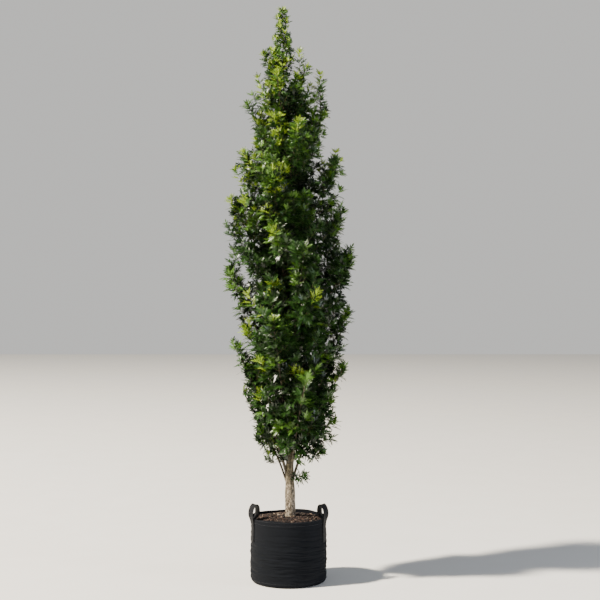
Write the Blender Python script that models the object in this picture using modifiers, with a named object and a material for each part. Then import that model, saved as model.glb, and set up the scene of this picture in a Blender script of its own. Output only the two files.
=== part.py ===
"""A potted columnar oak: a young upright tree in a round fabric planter bag.

The trunk stands on the bark mulch and runs whole to the leader. Limbs leave it at steep angles all round.
Each limb carries one plume of foliage, a mass of twigs and leaves that keeps to its own share of the crown.
Metres, +Z up. The origin is the centre of the bag's flat underside, and the front faces -Y.
"""

import math
import random

import bmesh
import bpy
import numpy as np
from mathutils import Matrix, Vector
from mathutils.bvhtree import BVHTree

GAP = 0.0003  # air between pieces that touch
RING_STEPS = 36  # sides of everything turned

# The bag: a felt cylinder with a soft lower corner, wider at its belly than at its rim.
BAG_HEIGHT = 0.390
BAG_WALL = 0.004
BAG_RIM_RADIUS = 0.225
BAG_BELLY_RADIUS = 0.229
BAG_CORNER = 0.022
MULCH_EDGE = 0.368  # height of the mulch at the wall
MULCH_TOP = 0.388  # height of its flat middle, which the trunk stands on
MULCH_FLAT = 0.060  # radius of that flat

# The carrying handles: webbing loops over the rim, turned to the front and twisted further at their tops.
STRAP_WIDTH = 0.048
STRAP_THICK = 0.0036
# The strap's centre line from its outer foot: distance from the bag's axis, turn to the front, height, twist.
HANDLE_LINE = (
    (0.2316, 21.0, 0.250, 21),
    (0.2306, 21.0, 0.300, 21),
    (0.2302, 21.0, 0.345, 21),
    (0.2350, 21.0, 0.378, 26),
    (0.2410, 21.4, 0.404, 35),
    (0.2400, 21.4, 0.432, 38),
    (0.2300, 20.8, 0.457, 38),
    (0.2165, 19.6, 0.471, 38),
    (0.2035, 18.0, 0.467, 38),
    (0.1950, 16.8, 0.450, 38),
    (0.1935, 16.4, 0.426, 37),
    (0.1975, 16.0, 0.404, 30),
    (0.2060, 15.7, 0.390, 22),
    (0.2135, 15.5, 0.380, 16),
    (0.2165, 15.5, 0.370, 15.5),
)

# The trunk: its centre line drifts, and its radius tapers from the foot to the leader.
TREE_TOP = 3.260  # the trunk's tip, inside the leader's leaves
TRUNK_FOOT_X = 0.011
TRUNK_TIP_X = -0.034
TRUNK_SWAY = 0.010
TRUNK_WAVES = 7.0  # radians of sway from foot to tip
TRUNK_FLARE = 0.0020
FLARE_HEIGHT = 0.018
TRUNK_RADII = ((0.0, 0.0315), (0.050, 0.0315), (0.085, 0.0250), (0.14, 0.0215), (0.45, 0.0140), (1.0, 0.0030))
TRUNK_RINGS = 24

# The crown's outline: height, then its reach to the left and to the right of the bag's axis.
CROWN = (
    (0.66, 0.090, 0.120),
    (0.78, 0.160, 0.215),
    (0.95, 0.250, 0.300),
    (1.20, 0.310, 0.345),
    (1.60, 0.370, 0.385),
    (1.95, 0.375, 0.385),
    (2.25, 0.375, 0.345),
    (2.55, 0.300, 0.320),
    (2.85, 0.255, 0.225),
    (3.10, 0.170, 0.110),
    (3.30, 0.110, 0.020),
    (3.480, 0.045, -0.020),
)

# The plumes: heights of the shoot tips on the left, front, right and back of the crown, from the foot up.
TIPS = {
    180: (1.13, 1.43, 1.88, 2.30, 2.58, 2.86, 3.17),
    270: (1.22, 1.58, 2.00, 2.40, 2.74, 3.03),
    0: (1.30, 1.62, 1.96, 2.24, 2.53, 2.83, 3.09),
    90: (1.19, 1.53, 2.06, 2.42, 2.70, 2.98),
}
SIDES = {180: "left", 270: "front", 0: "right", 90: "back"}
AZIMUTH_DRIFT = 15  # degrees by which a plume leaves its side of the tree, one way and the other by turns
# A plume's tip height, and how far it rises from its fork to there.
PLUME_RISES = ((1.13, 0.61), (1.45, 0.89), (1.90, 1.02), (2.40, 0.86), (3.20, 0.38))
LIMB_TAPER = 0.0098  # a limb's radius at its fork for each metre that it rises
LIMB_TIP = 0.0026
BOUGH_SHARE = 0.24  # share of a low plume's line that is a bare bough, a piece of its own
LEAFY_AFTER_BOUGH = 0.03
LEAFY_AFTER_FORK = 0.12
PLUME_HUG = 0.45  # how far a plume's line keeps in to the trunk before it leans out
BOUGH_TIERS = 3  # the plumes of the lowest tiers stand on boughs
STRAIGHT_END = 0.05  # share of the line that is straight where a bough ends
LEADER_FOOT = 2.94  # the plume round the trunk's top starts here
LEADER_TIP = 3.44

# Leaves and twigs, larger than life so that few of them fill the crown.
LEAF_LENGTH = 0.150
LEAF_LOBES = ((1.0, 0.0), (0.62, 0.22), (0.57, 0.50), (0.0, 0.0), (0.57, -0.50), (0.62, -0.22))
LEAF_THICK = 0.0034
LEAF_MIDDLE = 0.46
LEAF_FOLD = 0.10  # a lobe's lift for each part that it stands out
LEAF_DROOP = 0.12
TWIG_STEP = 0.100
TWIG_LENGTH = 0.110
SHORTEST_TWIG = 0.040
TWIG_LEAN = (95, 35)  # degrees from the stem, at its first twig and at its tip
LEAF_SPREAD = (0.5, 1.35)  # a leaf's angle from its twig
STEM_END = 0.97  # share of the line where the stem ends, among the last leaves
SKIRT_CLOSER = 0.55  # the lowest tier has its twigs this much closer together
TWIG_LEAVES = (1.0, 0.72, 0.50)  # where along a twig its leaves are rooted
TIP_LEAVES = (1.0, 0.6, 0.2)  # and along the stem's last stretch
LAST_TWIG = 0.93
CORE_END = 0.91
FAN = math.radians(125)  # twigs turn this far either way from the outward side of their stem
TWIG_RADIUS = 0.0045
CORE_SHARE = 0.74  # of the room round a plume's stem
CORE_MOST = 0.120
CLEARANCE = 0.004  # kept from the neighbouring plume's space and from the limbs
LEAF_TRIES = 16
ROOT_FREE = 0.15  # leaves may cross each other this near to their roots, as a share of their length
POKE = 0.125  # how far leaf tips stand out of the crown, as a share of its reach there
NARROW_TOP = 0.100  # added to that reach, so that they stand out of the narrow top too
GOLDEN = math.radians(137.5)
SEED = 11


def clear_scene():
    for old in list(bpy.data.objects):
        bpy.data.objects.remove(old, do_unlink=True)


def new_collection(name, hidden=False):
    collection = bpy.data.collections.new(name)
    bpy.context.scene.collection.children.link(collection)
    collection.hide_render = hidden
    return collection


def new_material(name, colour, roughness):
    material = bpy.data.materials.new(name)
    material.use_nodes = True
    shader = material.node_tree.nodes["Principled BSDF"]
    shader.inputs["Base Color"].default_value = (*colour, 1)
    shader.inputs["Roughness"].default_value = roughness
    return material


def new_object(name, mesh, collection, material=None):
    piece = bpy.data.objects.new(name, mesh)
    collection.objects.link(piece)
    if material:
        mesh.materials.append(material)
    return piece


def mesh_from(working, name):
    mesh = bpy.data.meshes.new(name)
    working.to_mesh(mesh)
    working.free()
    return mesh


def apply_modifiers(piece):
    graph = bpy.context.evaluated_depsgraph_get()
    mesh = bpy.data.meshes.new_from_object(piece.evaluated_get(graph))
    piece.modifiers.clear()
    piece.data = mesh


def between(rows, value, column=1):
    """A table's column at this value of its first column, by straight lines."""
    if value <= rows[0][0]:
        return rows[0][column]
    for low, high in zip(rows, rows[1:]):
        if value <= high[0]:
            share = (value - low[0]) / (high[0] - low[0])
            return low[column] + (high[column] - low[column]) * share
    return rows[-1][column]


# ---- the bag, its filling and its handles


def bag_radius(height, inset=0.0):
    """The bag's outer radius, less an inset, with the soft lower corner."""
    swell = math.sin(math.pi * (0.1 + 0.9 * height / BAG_HEIGHT))
    radius = BAG_RIM_RADIUS + (BAG_BELLY_RADIUS - BAG_RIM_RADIUS) * swell
    corner = BAG_CORNER - inset
    rise = min(corner, height - inset)
    return radius - inset - corner + math.sqrt(max(0.0, corner**2 - (corner - rise) ** 2))


def wall_profile(inset, top):
    """Points (radius, height) from the axis out and up the wall to the top."""
    heights = [inset + (BAG_CORNER - inset) * (1 - math.cos(step * math.pi / 8)) for step in range(5)]
    heights += [inset + (top - inset) * share for share in (0.3, 0.5, 0.7, 0.85, 1.0)]
    return [(0.0, inset)] + [(bag_radius(height, inset), height) for height in heights]


def turned(name, profile, collection, material):
    """A solid of revolution from a profile that starts and ends on the axis."""
    mesh = bpy.data.meshes.new(name)
    points = [(radius, 0, height) for radius, height in profile]
    mesh.from_pydata(points, [(i, i + 1) for i in range(len(points) - 1)], [])
    piece = new_object(name, mesh, collection, material)
    screw = piece.modifiers.new("turn", "SCREW")
    screw.steps = screw.render_steps = RING_STEPS
    screw.use_merge_vertices = True
    screw.merge_threshold = 0.0001
    screw.use_smooth_shade = True
    return piece


def make_bag(collection, felt):
    inner = wall_profile(BAG_WALL, BAG_HEIGHT)
    outer = wall_profile(0.0, BAG_HEIGHT)
    return turned("planter_bag", inner + outer[::-1], collection, felt)


def make_mulch(collection, bark):
    """The filling: compost to the wall, with bark mulch heaped up a little to the trunk."""
    heap = [(0.0, MULCH_TOP), (MULCH_FLAT, MULCH_TOP), (0.130, 0.380)]
    side = wall_profile(BAG_WALL + GAP, MULCH_EDGE)
    return turned("compost_and_mulch", heap + side[::-1], collection, bark)


def make_handle(name, side, collection, webbing):
    """A strap of oblong section along the handle's line, on the right or, with side -1, on the left."""
    line = []
    for radius, turn, height, _ in HANDLE_LINE:
        turn = math.radians(turn)
        line.append(Vector((side * radius * math.cos(turn), -radius * math.sin(turn), height)))
    working = bmesh.new()
    rings = []
    for i, point in enumerate(line):
        twist = math.radians(HANDLE_LINE[i][3])
        across = Vector((side * math.sin(twist), math.cos(twist), 0)) * (STRAP_WIDTH / 2)
        along = line[min(i + 1, len(line) - 1)] - line[max(i - 1, 0)]
        outward = across.cross(along).normalized() * (STRAP_THICK / 2)
        corners = [across + outward, across - outward, -across - outward, -across + outward]
        rings.append([working.verts.new(point + corner) for corner in corners])
    for low, high in zip(rings, rings[1:]):
        for k in range(4):
            working.faces.new((low[k], low[(k + 1) % 4], high[(k + 1) % 4], high[k]))
    working.faces.new(rings[0])
    working.faces.new(rings[-1])
    bmesh.ops.recalc_face_normals(working, faces=working.faces)
    return new_object(name, mesh_from(working, name), collection, webbing)


# ---- the trunk and the boughs


def trunk_centre(height):
    share = (height - MULCH_TOP) / (TREE_TOP - MULCH_TOP)
    lean = TRUNK_FOOT_X + (TRUNK_TIP_X - TRUNK_FOOT_X) * share
    return Vector((lean, TRUNK_SWAY * math.sin(share * TRUNK_WAVES), height))


def trunk_radius(height):
    share = (height - MULCH_TOP) / (TREE_TOP - MULCH_TOP)
    flare = TRUNK_FLARE * math.exp(-(height - MULCH_TOP) / FLARE_HEIGHT)
    return between(TRUNK_RADII, share) + flare


def tapering_tube(name, points, radii, roundness):
    """A closed tube with flat ends through the points. It has 4 sides, and 2 more a step of roundness."""
    curve = bpy.data.curves.new(name, "CURVE")
    curve.dimensions = "3D"
    curve.bevel_depth = 1.0
    curve.bevel_resolution = roundness
    curve.use_fill_caps = True
    spline = curve.splines.new("POLY")
    spline.points.add(len(points) - 1)
    for knot, point, radius in zip(spline.points, points, radii):
        knot.co = (*point, 1)
        knot.radius = radius
    limb = bpy.data.objects.new(name, curve)
    bpy.context.scene.collection.objects.link(limb)
    graph = bpy.context.evaluated_depsgraph_get()
    mesh = bpy.data.meshes.new_from_object(limb.evaluated_get(graph))
    bpy.data.objects.remove(limb)
    working = bmesh.new()
    working.from_mesh(mesh)
    bmesh.ops.remove_doubles(working, verts=working.verts, dist=0.00001)
    bmesh.ops.recalc_face_normals(working, faces=working.faces)
    return mesh_from(working, name)


def trunk_mesh(extra=0.0):
    """The trunk or, with an extra, the cutter that is a little fatter than it."""
    foot = MULCH_TOP + GAP
    heights = [foot + rise for rise in (0.0, 0.012, 0.030, 0.070)]
    rise = (TREE_TOP - heights[-1]) / (TRUNK_RINGS - 4)
    heights += [heights[-1] + rise * (k + 1) for k in range(TRUNK_RINGS - 4)]
    points = [trunk_centre(height) for height in heights]
    points[0] = Vector((points[1].x, points[1].y, foot))  # upright at the foot, for a level cut
    radii = [trunk_radius(height) + extra for height in heights]
    if extra:
        points.append(points[-1] + Vector((0, 0, extra)))
        radii.append(radii[-1])
    return tapering_tube("trunk", points, radii, 3)


# ---- the crown's plumes, and the space that each keeps to


def crown_centre(height):
    """The middle of the crown's outline at this height."""
    return Vector(((between(CROWN, height, 2) - between(CROWN, height, 1)) / 2, 0, height))


def crown_reach(height):
    return (between(CROWN, height, 2) + between(CROWN, height, 1)) / 2


class Plume:
    """A limb's line from its fork on the trunk to its tip on the crown's outline."""

    def __init__(self, name, azimuth, tip_height, tier):
        self.name = name
        self.rise = between(PLUME_RISES, tip_height)
        self.fork = tip_height - self.rise
        self.outward = Vector((math.cos(azimuth), math.sin(azimuth), 0))
        self.tip = crown_centre(tip_height) + self.outward * crown_reach(tip_height)
        self.forked = tier < BOUGH_TIERS  # its first stretch is a bough of its own
        self.start = BOUGH_SHARE if self.forked else 0.0
        self.leafy = self.start + (LEAFY_AFTER_BOUGH if self.forked else LEAFY_AFTER_FORK)
        self.twig_step = TWIG_STEP * (1.0 if tier else SKIRT_CLOSER)
        self.axis = [self.at(k / 10) for k in range(11)]

    def at(self, share):
        """A point on the line, which rises close to the trunk and then leans out to its tip."""
        height = self.fork + self.rise * share
        out = (self.tip - trunk_centre(self.tip.z)) * share * (1 - PLUME_HUG * (1 - share))
        return trunk_centre(height) + Vector((out.x, out.y, 0))

    def radius(self, share):
        return LIMB_TIP + LIMB_TAPER * self.rise * (1 - share)

    def heading(self, share):
        return (self.at(share + 0.02) - self.at(share)).normalized()

    def bough_gap(self, point):
        """Distance from the point to the skin of the plume's bough."""
        foot, end = self.at(0.0), self.at(self.start)
        share = min(1.0, max(0.0, (point - foot).dot(end - foot) / (end - foot).length_squared))
        return (point - foot.lerp(end, share)).length - self.radius(0.0)


class Leader(Plume):
    """The plume round the trunk's own top, whose line is the trunk."""

    def __init__(self):
        self.name = "leader"
        self.fork = LEADER_FOOT
        self.rise = LEADER_TIP - LEADER_FOOT
        self.outward = Vector((0, -1, 0))
        self.forked = False
        self.start = (TREE_TOP - self.fork) / self.rise
        self.leafy = 0.10
        self.twig_step = TWIG_STEP
        self.axis = [self.at(k / 10) for k in range(11)]

    def at(self, share):
        return trunk_centre(self.fork + self.rise * share)


def all_plumes():
    plumes = [Leader()]
    for azimuth, side in SIDES.items():
        for tier, tip_height in enumerate(TIPS[azimuth]):
            drift = AZIMUTH_DRIFT if (tier + azimuth // 90) % 2 else -AZIMUTH_DRIFT
            plumes.append(Plume(f"{side}_{tier + 1}", math.radians(azimuth + drift), tip_height, tier))
    return plumes


class CrownSpace:
    """Says whether points lie in a plume's own share of the crown, clear of the trunk and of its bough."""

    def __init__(self, plumes):
        self.plumes = plumes
        pairs = [(i, a, b) for i, p in enumerate(plumes) for a, b in zip(p.axis, p.axis[1:])]
        self.owner = np.array([i for i, _, _ in pairs])
        self.foot = np.array([a for _, a, _ in pairs])
        self.span = np.array([b - a for _, a, b in pairs])

    def to_axes(self, points):
        """Distance from each point to each plume's line."""
        away = np.array(points)[:, None, :] - self.foot[None]
        share = np.clip((away * self.span).sum(2) / (self.span**2).sum(1), 0, 1)
        apart = np.linalg.norm(away - share[:, :, None] * self.span, axis=2)
        return np.stack([apart[:, self.owner == i].min(1) for i in range(len(self.plumes))], 1)

    def holds(self, points, plume, slack):
        """True if every point is the plume's own, and outside the crown by no more than the slack."""
        for point in points:
            reach = crown_reach(point.z)
            outside = (point - crown_centre(point.z)).length > reach + slack * (reach + NARROW_TOP)
            if outside or not CROWN[0][0] < point.z < CROWN[-1][0]:
                return False
            if (point - trunk_centre(point.z)).length < trunk_radius(point.z) + CLEARANCE:
                return False
            if plume.start and plume.bough_gap(point) < CLEARANCE:
                return False
        apart = self.to_axes(points)
        mine = self.plumes.index(plume)
        return (np.delete(apart, mine, 1).min(1) - apart[:, mine] > 2 * CLEARANCE).all()

    def room(self, origin, way, plume):
        """How far a straight line goes from the origin before it leaves the plume's space."""
        step = 0.012
        far = 0.0
        while far < CORE_MOST / CORE_SHARE and self.holds([origin + way * (far + step)], plume, 0.0):
            far += step
        return far


# ---- twigs, leaves and cores, and the union that makes a mass of them


def twig_mesh(foot, end, radius):
    """A three-sided cone from the foot to the end."""
    working = bmesh.new()
    depth = (end - foot).length
    sizes = {"radius1": radius, "radius2": radius / 2, "depth": depth}
    bmesh.ops.create_cone(working, cap_ends=True, segments=3, **sizes)
    turn = (end - foot).to_track_quat("Z", "Y").to_matrix().to_4x4()
    bmesh.ops.transform(working, matrix=Matrix.Translation((foot + end) / 2) @ turn, verts=working.verts)
    return mesh_from(working, "twig")


def leaf_frame(root, way, up):
    """The matrix of a leaf that starts at its root, points along way and turns its face up."""
    across = up.cross(way).normalized()
    turn = Matrix((way, across, way.cross(across))).transposed().to_4x4()
    return Matrix.Translation(root) @ turn


def leaf_points(frame, length):
    """The six corners of a three-lobed leaf, folded along its rib and drooping to its tip."""
    corners = []
    for along, across in LEAF_LOBES:
        lift = LEAF_FOLD * abs(across) - LEAF_DROOP * along**2
        corners.append(frame @ (Vector((along, across, lift)) * length))
    return corners


def leaf_mesh(frame, length):
    """A leaf: a sphere of six sides and two rings whose rim is drawn out to the lobes."""
    working = bmesh.new()
    bmesh.ops.create_uvsphere(working, u_segments=6, v_segments=2, radius=1.0)
    corners = leaf_points(frame, length)
    middle = Vector((LEAF_MIDDLE, 0, -LEAF_DROOP * LEAF_MIDDLE**2)) * length
    for vert in working.verts:
        if abs(vert.co.z) > 0.5:
            face = Vector((0, 0, math.copysign(LEAF_THICK / 2, vert.co.z)))
            vert.co = frame @ (middle + face)
        else:
            vert.co = corners[round(math.atan2(vert.co.y, vert.co.x) / (math.pi / 3)) % 6]
    return mesh_from(working, "leaf")


def core_mesh(plume, space, draw):
    """The dense heart of a plume: a sphere drawn out along the stem, thinner than the room round it."""
    working = bmesh.new()
    bmesh.ops.create_uvsphere(working, u_segments=6, v_segments=6, radius=1.0)
    low, high = plume.leafy + 0.02, CORE_END
    for vert in working.verts:
        ball = vert.co.copy()
        share = low + (high - low) * (ball.z + 1) / 2
        round_way = Vector((ball.x, ball.y, 0))
        origin = plume.at(share)
        if round_way.length < 0.01:
            vert.co = origin
            continue
        reach = CORE_SHARE * space.room(origin, round_way.normalized(), plume)
        vert.co = origin + round_way * max(reach * draw.uniform(0.75, 1.0), plume.radius(share) * 1.5)
    return mesh_from(working, "core")


def grow(plume, space, draw):
    """The meshes of a plume's stem, core, twigs and leaves."""
    shares = [plume.start + (STEM_END - plume.start) * k / 4 for k in range(5)]
    points = [plume.at(share) for share in shares]
    if plume.start:
        heading = (points[0] - plume.at(plume.start - STRAIGHT_END)).normalized()
        points[0] = points[0] + heading * GAP
        points.insert(1, points[0] + heading * 0.03)
        shares.insert(1, shares[0] + 0.03)
    pieces = [tapering_tube("stem", points, [plume.radius(share) for share in shares], 0)]
    pieces.append(core_mesh(plume, space, draw))
    taken = [shape_of(mesh) for mesh in pieces]
    low, high = plume.leafy, LAST_TWIG
    count = round(plume.rise * (high - low) / plume.twig_step)
    for k in range(count + 1):
        share = low + (high - low) * k / count
        turn = ((k * GOLDEN + draw.uniform(0, 0.5)) % (2 * FAN)) - FAN
        pieces += spray(plume, space, share, turn, taken, draw)
    foot, end = plume.at(CORE_END), plume.at(STEM_END - 0.005)
    pieces += rosette(plume, space, foot, end, (end - foot).normalized(), TIP_LEAVES, taken, draw)
    return pieces


def shape_of(mesh):
    return BVHTree.FromPolygons([v.co for v in mesh.vertices], [list(p.vertices) for p in mesh.polygons])


def spray(plume, space, share, turn, taken, draw):
    """A twig and its leaves, or nothing where they would leave the plume's space."""
    foot = plume.at(share)
    along = plume.heading(share)
    side = along.cross(plume.outward).normalized()
    around = side.cross(along) * math.cos(turn) + side * math.sin(turn)
    along_stem = (share - plume.leafy) / (1 - plume.leafy)
    lean = TWIG_LEAN[0] + (TWIG_LEAN[1] - TWIG_LEAN[0]) * along_stem
    lean = math.radians(lean + draw.uniform(-8, 8))
    way = along * math.cos(lean) + around * math.sin(lean)
    length = TWIG_LENGTH * draw.uniform(0.8, 1.3)
    while length > SHORTEST_TWIG:
        if space.holds([foot + way * length, foot + way * length / 2], plume, 0):
            break
        length -= TWIG_LENGTH / 10
    end = foot + way * length
    twig = twig_mesh(foot, end + way * 0.004, TWIG_RADIUS)
    leaves = rosette(plume, space, foot, end, way, TWIG_LEAVES, taken, draw)
    if not leaves:
        return []
    taken.append(shape_of(twig))
    return [twig] + leaves


def rosette(plume, space, foot, end, way, places, taken, draw):
    """Leaves along a twig, each at the first of a few chance turns that keeps it in the plume's space."""
    side = way.orthogonal().normalized()
    front = way.cross(side)
    turn = draw.uniform(0, math.tau)
    made = []
    for place in places:
        root = foot.lerp(end, place)
        for attempt in range(LEAF_TRIES):
            turn += GOLDEN
            spread = draw.uniform(*LEAF_SPREAD)
            around = side * math.cos(turn) + front * math.sin(turn)
            ahead = way * math.cos(spread) + around * math.sin(spread)
            face = way + Vector((0, 0, 0.6)) + plume.outward * draw.uniform(0, 0.9)
            frame = leaf_frame(root, ahead, face.normalized())
            length = LEAF_LENGTH * (1.06 - 0.02 * attempt)
            corners = leaf_points(frame, length)
            middles = [a.lerp(b, 0.5) for a, b in zip(corners, corners[1:] + corners[:1])]
            blade = [root.lerp(corners[0], ROOT_FREE)] + corners[4:] + corners[:3]
            blade = BVHTree.FromPolygons(blade, [(0, 1, 2), (0, 2, 3), (0, 3, 4), (0, 4, 5)])
            if any(blade.overlap(other) for other in taken):
                continue
            if space.holds(corners[:3] + corners[4:] + middles, plume, POKE):
                made.append(leaf_mesh(frame, length))
                taken.append(blade)
                break
    return made


def joined(name, meshes, collection, material, cutter):
    """One solid from the stem, the first mesh, and all that stands on it, cut clear of the trunk."""
    others = new_collection("on_" + name)
    for mesh in meshes[1:]:
        new_object("on_stem", mesh, others)
    mass = new_object(name, meshes[0], collection)
    union = mass.modifiers.new("join", "BOOLEAN")
    union.operation = "UNION"
    union.operand_type = "COLLECTION"
    union.collection = others
    union.solver = "MANIFOLD"
    clear_of_trunk(mass, cutter, material)
    for extra in list(others.objects):
        bpy.data.objects.remove(extra)
    bpy.data.collections.remove(others)


def clear_of_trunk(piece, cutter, material):
    """Cuts a limb or a mass back from the trunk, and keeps only what is still joined up."""
    clear = piece.modifiers.new("clear_of_trunk", "BOOLEAN")
    clear.operation = "DIFFERENCE"
    clear.object = cutter
    clear.solver = "MANIFOLD"
    apply_modifiers(piece)
    drop_scraps(piece.data)
    piece.data.materials.clear()
    piece.data.materials.append(material)


def drop_scraps(mesh):
    """Keeps the largest of the mesh's separate shells."""
    working = bmesh.new()
    working.from_mesh(mesh)
    left = set(working.verts)
    shells = []
    while left:
        shell, reached = [], [left.pop()]
        while reached:
            vert = reached.pop()
            shell.append(vert)
            near = {edge.other_vert(vert) for edge in vert.link_edges} & left
            left -= near
            reached += near
        shells.append(shell)
    shells.sort(key=len)
    for shell in shells[:-1]:
        bmesh.ops.delete(working, geom=shell, context="VERTS")
    working.to_mesh(mesh)
    working.free()


def make_bough(plume, collection, bark, cutter):
    """A low plume's first stretch, from the trunk's skin to a flat end that its mass's stem meets."""
    shares = [0.0, plume.start / 3, plume.start * 2 / 3, plume.start - STRAIGHT_END, plume.start]
    points = [plume.at(share) for share in shares]
    mesh = tapering_tube("bough", points, [plume.radius(share) for share in shares], 2)
    clear_of_trunk(new_object("bough_" + plume.name, mesh, collection), cutter, bark)


def main():
    clear_scene()
    tree = new_collection("potted_columnar_oak")
    cutters = new_collection("cutters", hidden=True)
    felt = new_material("black_felt", (0.018, 0.019, 0.022), 0.9)
    webbing = new_material("black_webbing", (0.012, 0.013, 0.016), 0.75)
    mulch = new_material("bark_mulch", (0.12, 0.060, 0.035), 0.95)
    bark = new_material("young_bark", (0.36, 0.31, 0.25), 0.85)
    foliage = new_material("oak_foliage", (0.045, 0.13, 0.025), 0.5)
    make_bag(tree, felt)
    make_mulch(tree, mulch)
    make_handle("handle_right", 1, tree, webbing)
    make_handle("handle_left", -1, tree, webbing)
    new_object("trunk", trunk_mesh(), tree, bark)
    cutter = new_object("trunk_cutter", trunk_mesh(GAP), cutters)
    cutter.hide_render = True
    cutter.display_type = "WIRE"
    plumes = all_plumes()
    space = CrownSpace(plumes)
    for plume in plumes:
        draw = random.Random(f"{SEED} {plume.name}")
        if plume.forked:
            make_bough(plume, tree, bark, cutter)
        joined("foliage_" + plume.name, grow(plume, space, draw), tree, foliage, cutter)


main()
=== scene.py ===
"""A potted columnar oak in a plain studio.

The bag comes first, then its filling, the trunk and the limbs, and last the crown, leaf by leaf.
"""

import math
import random

import bpy
import numpy as np
from mathutils import Euler, Matrix, Vector


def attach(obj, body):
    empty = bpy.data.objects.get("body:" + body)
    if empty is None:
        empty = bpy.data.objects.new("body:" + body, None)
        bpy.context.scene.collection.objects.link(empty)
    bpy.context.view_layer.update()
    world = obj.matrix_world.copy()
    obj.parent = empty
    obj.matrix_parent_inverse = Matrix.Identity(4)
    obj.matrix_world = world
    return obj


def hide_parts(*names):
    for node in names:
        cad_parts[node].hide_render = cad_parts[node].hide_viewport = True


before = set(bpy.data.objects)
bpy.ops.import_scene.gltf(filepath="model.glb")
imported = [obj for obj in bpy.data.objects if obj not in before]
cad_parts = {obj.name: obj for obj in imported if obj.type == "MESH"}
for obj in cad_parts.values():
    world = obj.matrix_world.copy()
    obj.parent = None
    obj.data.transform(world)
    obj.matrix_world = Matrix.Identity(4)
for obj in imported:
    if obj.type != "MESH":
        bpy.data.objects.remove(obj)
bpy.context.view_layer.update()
for startup in ("Cube", "Light", "Camera"):
    if startup in bpy.data.objects:
        bpy.data.objects.remove(bpy.data.objects[startup])
bpy.ops.object.select_all(action="DESELECT")

# ---- Planter bag
# A round planter of black needle-punched polyester felt, 4 mm thick. It is cut flat, sewn up the back and
# round its base, and hemmed at the rim. The wet compost has pressed its wall out into low, level folds.

bag_height = 0.390
bag_wall = 0.004
rim_radius = 0.225
belly_radius = 0.229
bag_corner = 0.022
hem_depth = 0.030
hem_foot = bag_height - hem_depth
hem_extra = 0.0014  # the felt lies double there
lining_radius = rim_radius - bag_wall - hem_extra  # the hem's inside


def linear(colour):
    """An sRGB hex colour as linear RGBA."""
    parts = [int(colour[i : i + 2], 16) / 255 for i in (1, 3, 5)]
    return (*[c / 12.92 if c <= 0.04045 else ((c + 0.055) / 1.055) ** 2.4 for c in parts], 1.0)


def new_finish(name):
    finish = bpy.data.materials.new(name)
    finish.use_nodes = True
    finish.node_tree.nodes.clear()
    return finish


def add_node(finish, kind, inputs=None, stops=(), **settings):
    """Adds a shader node with its settings, and with a ramp's stops as (position, colour) in turn.

    An input is a value, a node whose first output is linked, or another of a node's outputs.
    """
    node = finish.node_tree.nodes.new("ShaderNode" + kind)
    for name, value in settings.items():
        setattr(node, name, value)
    for position, _ in stops[1:-1]:
        node.color_ramp.elements.new(position)
    for k, (position, colour) in enumerate(stops):
        node.color_ramp.elements[k].position = position
        node.color_ramp.elements[k].color = linear(colour)
    for name, value in (inputs or {}).items():
        if isinstance(value, bpy.types.Node):
            value = value.outputs[0]
        if isinstance(value, bpy.types.NodeSocket):
            finish.node_tree.links.new(value, node.inputs[name])
        else:
            node.inputs[name].default_value = value
    return node


def apply_all(piece):
    """Applies the modifiers of the piece, which it also makes the active object."""
    bpy.ops.object.select_all(action="DESELECT")
    bpy.context.view_layer.objects.active = piece
    piece.select_set(True)
    for modifier in list(piece.modifiers):
        bpy.ops.object.modifier_apply(modifier=modifier.name)


def spun(name, profile, steps):
    """A profile of (radius, height) points, drawn in edit mode and spun round the upright axis."""
    bpy.ops.mesh.primitive_plane_add(size=0.01)
    piece = bpy.context.object
    piece.name = piece.data.name = name
    bpy.ops.object.mode_set(mode="EDIT")
    bpy.ops.mesh.merge(type="CENTER")
    bpy.ops.transform.translate(value=(profile[0][0], 0, profile[0][1]))
    for (r0, z0), (r1, z1) in zip(profile, profile[1:]):
        bpy.ops.mesh.extrude_vertices_move(TRANSFORM_OT_translate={"value": (r1 - r0, 0, z1 - z0)})
    bpy.ops.mesh.select_all(action="SELECT")
    bpy.ops.mesh.spin(steps=steps, angle=math.tau, center=(0, 0, 0), axis=(0, 0, 1))
    bpy.ops.mesh.select_all(action="SELECT")
    bpy.ops.mesh.remove_doubles(threshold=0.00001)
    bpy.ops.mesh.normals_make_consistent(inside=False)
    bpy.ops.mesh.faces_shade_smooth()
    bpy.ops.object.mode_set(mode="OBJECT")
    return piece


def weigh(piece, name, weight):
    """A vertex group whose weights come from each point's place."""
    group = piece.vertex_groups.new(name=name)
    for vert in piece.data.vertices:
        share = weight(vert.co)
        if share > 0:
            group.add([vert.index], min(1.0, share), "REPLACE")


def add_lumps(piece, name, size, strength, stretch=(1, 1, 1), group="", depth=2, direction="NORMAL"):
    """Displaces the piece by cloudy noise of that size in metres, drawn out along the axes by stretch."""
    lumps = bpy.data.textures.new(name, "CLOUDS")
    lumps.noise_scale = size
    lumps.noise_depth = depth
    # The noise's own grid is kept off the piece's axis, where it would show.
    bpy.ops.object.empty_add(location=(0.37, 0.21, 0.13))
    guide = bpy.context.object
    guide.scale = stretch
    bpy.context.view_layer.update()
    push = piece.modifiers.new(name, "DISPLACE")
    push.texture = lumps
    push.texture_coords = "OBJECT"
    push.texture_coords_object = guide
    push.strength = strength
    push.direction = direction
    push.vertex_group = group
    apply_all(piece)
    bpy.data.objects.remove(guide)


def bag_radius(height):
    """The wall's outer radius: a slight belly, and a round corner at the foot."""
    swell = math.sin(math.pi * (0.1 + 0.9 * height / bag_height))
    rise = min(bag_corner, height)
    corner = math.sqrt(bag_corner**2 - (bag_corner - rise) ** 2) - bag_corner
    return rim_radius + (belly_radius - rim_radius) * swell + corner


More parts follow.
